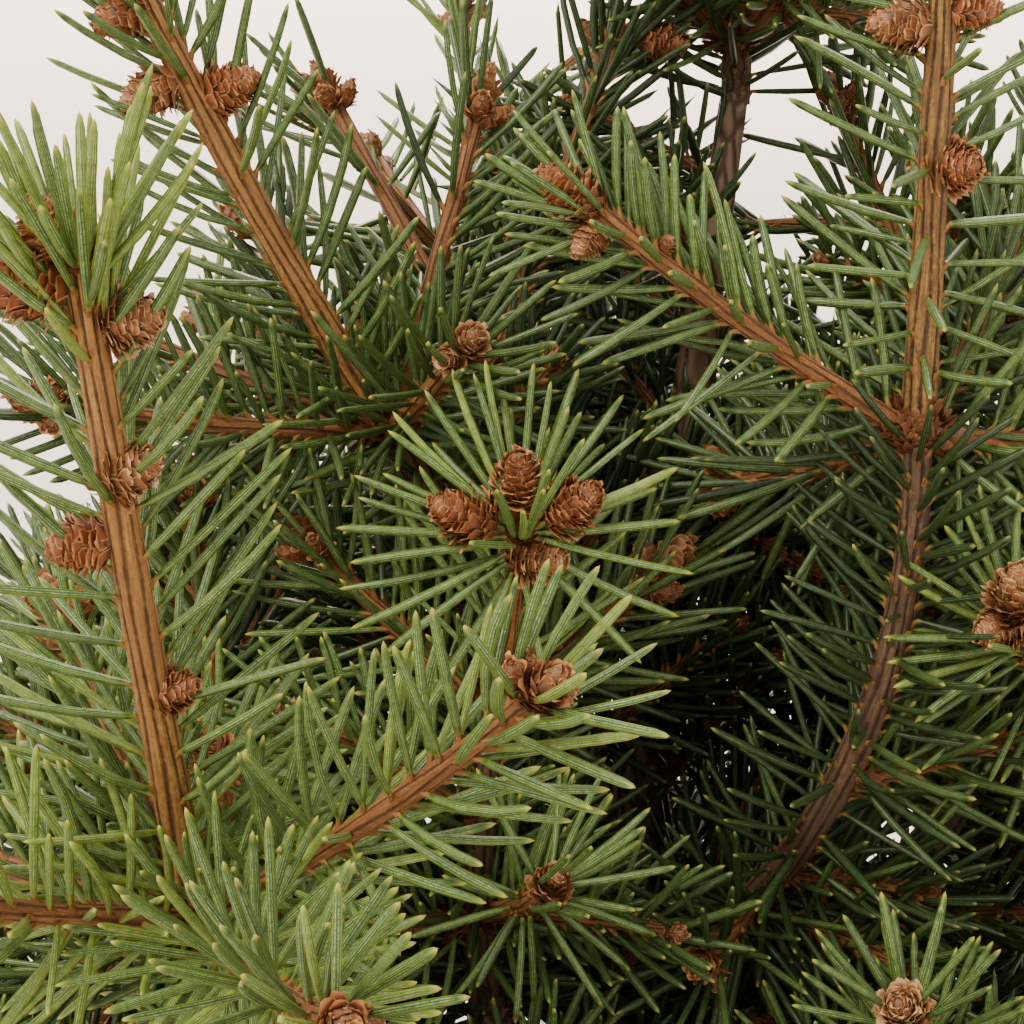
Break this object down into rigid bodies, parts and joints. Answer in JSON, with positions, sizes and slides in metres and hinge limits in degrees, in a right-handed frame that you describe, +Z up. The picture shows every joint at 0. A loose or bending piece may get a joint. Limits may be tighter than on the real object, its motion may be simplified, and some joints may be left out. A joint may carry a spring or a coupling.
{
  "type": "potted alberta spruce",
  "caption": "Small dwarf spruce with short stiff needles, brown budded shoots and several leaders, standing in a plain round clay pot filled with soil.",
  "frame": {"origin": "centre of the pot's flat underside, on the surface that the pot stands on", "axes": "+Z up along the pot's axis, -Y to the front of the plant, +X to the right seen from the front"},
  "size_m": [0.2493, 0.2518, 0.3914],
  "materials": {
    "clay": "matte",
    "soil": "matte",
    "bark": "matte",
    "needles": "satin",
    "twig": "matte",
    "bud": "matte"
  },
  "bodies": {
    "root": {"pot": "clay", "soil": "soil", "trunk": "bark", "bough_right_leader": "bark", "bough_left_leader": "bark", "bough_centre": "bark", "bough_upper_left": "bark", "bough_right_edge": "bark", "bough_bottom_right": "bark", "bough_mid_left": "bark", "bough_low_1": "bark", "bough_low_2": "bark", "bough_low_3": "bark", "bough_low_4": "bark", "bough_low_5": "bark", "bough_low_6": "bark", "bough_low_7": "bark", "bough_lower_1": "bark", "bough_lower_2": "bark", "bough_lower_3": "bark", "bough_lower_4": "bark", "bough_lower_5": "bark", "bough_lower_6": "bark", "bough_upper_1": "bark", "bough_upper_2": "bark", "bough_upper_3": "bark", "bough_upper_4": "bark", "bough_upper_5": "bark", "needles_right_leader": "needles", "needles_left_leader": "needles", "needles_centre": "needles", "needles_upper_left": "needles", "needles_behind": "needles", "needles_right_edge": "needles", "needles_bottom_right": "needles", "needles_mid_left": "needles", "needles_low_1": "needles", "needles_low_2": "needles", "needles_low_3": "needles", "needles_low_4": "needles", "needles_low_5": "needles", "needles_low_6": "needles", "needles_low_7": "needles", "needles_lower_1": "needles", "needles_lower_2": "needles", "needles_lower_3": "needles", "needles_lower_4": "needles", "needles_lower_5": "needles", "needles_lower_6": "needles", "needles_upper_1": "needles", "needles_upper_2": "needles", "needles_upper_3": "needles", "needles_upper_4": "needles", "needles_upper_5": "needles", "needles_high_1": "needles", "needles_high_2": "needles", "needles_main_leader": "needles"}
  },
  "joints": []
}
